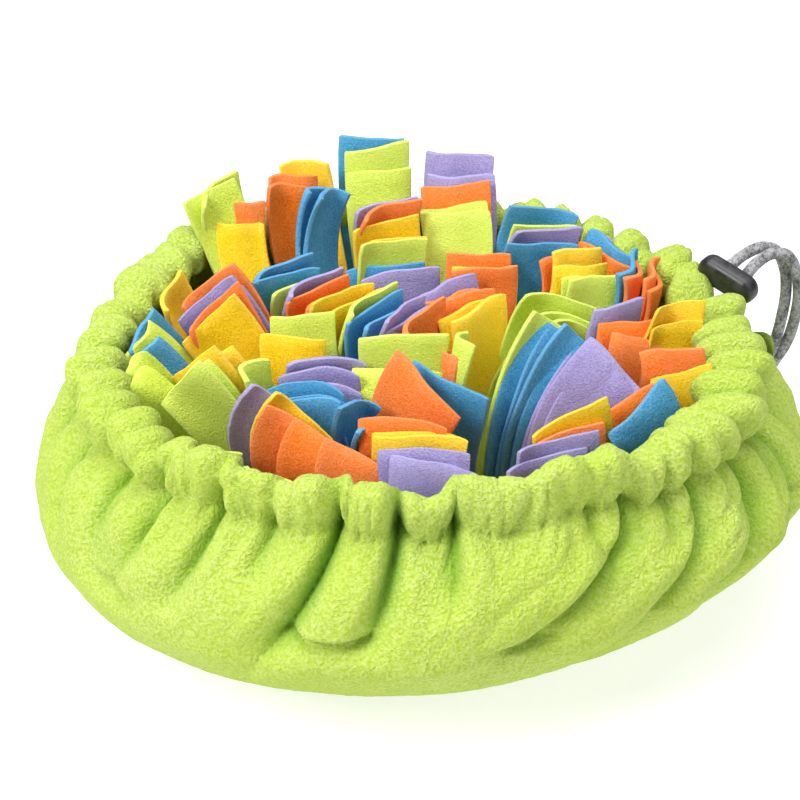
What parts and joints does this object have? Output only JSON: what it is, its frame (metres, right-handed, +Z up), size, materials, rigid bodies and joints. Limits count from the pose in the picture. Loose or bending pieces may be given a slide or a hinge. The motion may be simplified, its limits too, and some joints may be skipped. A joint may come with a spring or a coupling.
{
  "type": "fleece snuffle bag",
  "caption": "Round fleece bag drawn by a cord into a soft bowl with a ruffled hem, filled with bundles of coloured fleece flaps that hide treats for a pet to sniff out.",
  "frame": {"origin": "on the floor, under the middle of the bag's flat foot", "axes": "+Z up out of the bag's mouth, +X towards the side that the cord lock is on, +Y towards the back"},
  "size_m": [0.3814, 0.3571, 0.154],
  "materials": {
    "lime_fleece": "nubby brushed fleece, matte",
    "green_flap_fleece": "short brushed fleece, matte",
    "orange_flap_fleece": "short brushed fleece, matte",
    "yellow_flap_fleece": "short brushed fleece, matte",
    "blue_flap_fleece": "short brushed fleece, matte",
    "purple_flap_fleece": "short brushed fleece, matte",
    "grey_cord": "heathered knitted cord, matte",
    "black_plastic": "satin moulded"
  },
  "bodies": {
    "root": {"bag_shell": "lime_fleece", "flaps_back_left_corner": "green_flap_fleece", "flaps_back_left_peak": "orange_flap_fleece", "flaps_back_left_yellow": "yellow_flap_fleece", "flaps_back_left_blue": "blue_flap_fleece", "flaps_back_tall": "green_flap_fleece", "flaps_back_middle": "yellow_flap_fleece", "flaps_back_middle_front": "purple_flap_fleece", "flaps_back_right": "orange_flap_fleece", "flaps_far_right": "purple_flap_fleece", "flaps_far_right_corner": "blue_flap_fleece", "flaps_middle_left": "yellow_flap_fleece", "flaps_middle_back": "yellow_flap_fleece", "flaps_middle_right": "orange_flap_fleece", "flaps_right_green": "green_flap_fleece", "flaps_right_back_stack": "yellow_flap_fleece", "flaps_right_back_rim": "orange_flap_fleece", "flaps_right_fan": "blue_flap_fleece", "flaps_right_purple": "orange_flap_fleece", "flaps_right_yellow": "yellow_flap_fleece", "flaps_right_orange": "yellow_flap_fleece", "flaps_right_front": "blue_flap_fleece", "flaps_front_right": "purple_flap_fleece", "flaps_centre_green": "green_flap_fleece", "flaps_centre_edge": "green_flap_fleece", "flaps_centre_peak": "orange_flap_fleece", "flaps_front_middle": "yellow_flap_fleece", "flaps_front_left_purple": "yellow_flap_fleece", "flaps_front_left": "orange_flap_fleece", "flaps_middle_front_left": "blue_flap_fleece", "flaps_middle_front_edge": "blue_flap_fleece", "flaps_middle_left_green": "yellow_flap_fleece", "flaps_left": "purple_flap_fleece", "flaps_left_front": "green_flap_fleece", "flaps_left_front_edge": "green_flap_fleece", "flaps_left_rim_yellow": "yellow_flap_fleece", "flaps_left_rim_blue": "green_flap_fleece", "flaps_left_rim_green": "green_flap_fleece", "flaps_front_left_rim": "blue_flap_fleece", "flaps_front_rim_middle": "yellow_flap_fleece", "flaps_front_rim_right": "green_flap_fleece", "flaps_front_rim_left": "blue_flap_fleece", "flaps_front_rim_corner": "orange_flap_fleece", "cord_lock": "black_plastic", "cord_front": "grey_cord", "cord_back": "grey_cord", "cord_knot": "grey_cord"}
  },
  "joints": []
}
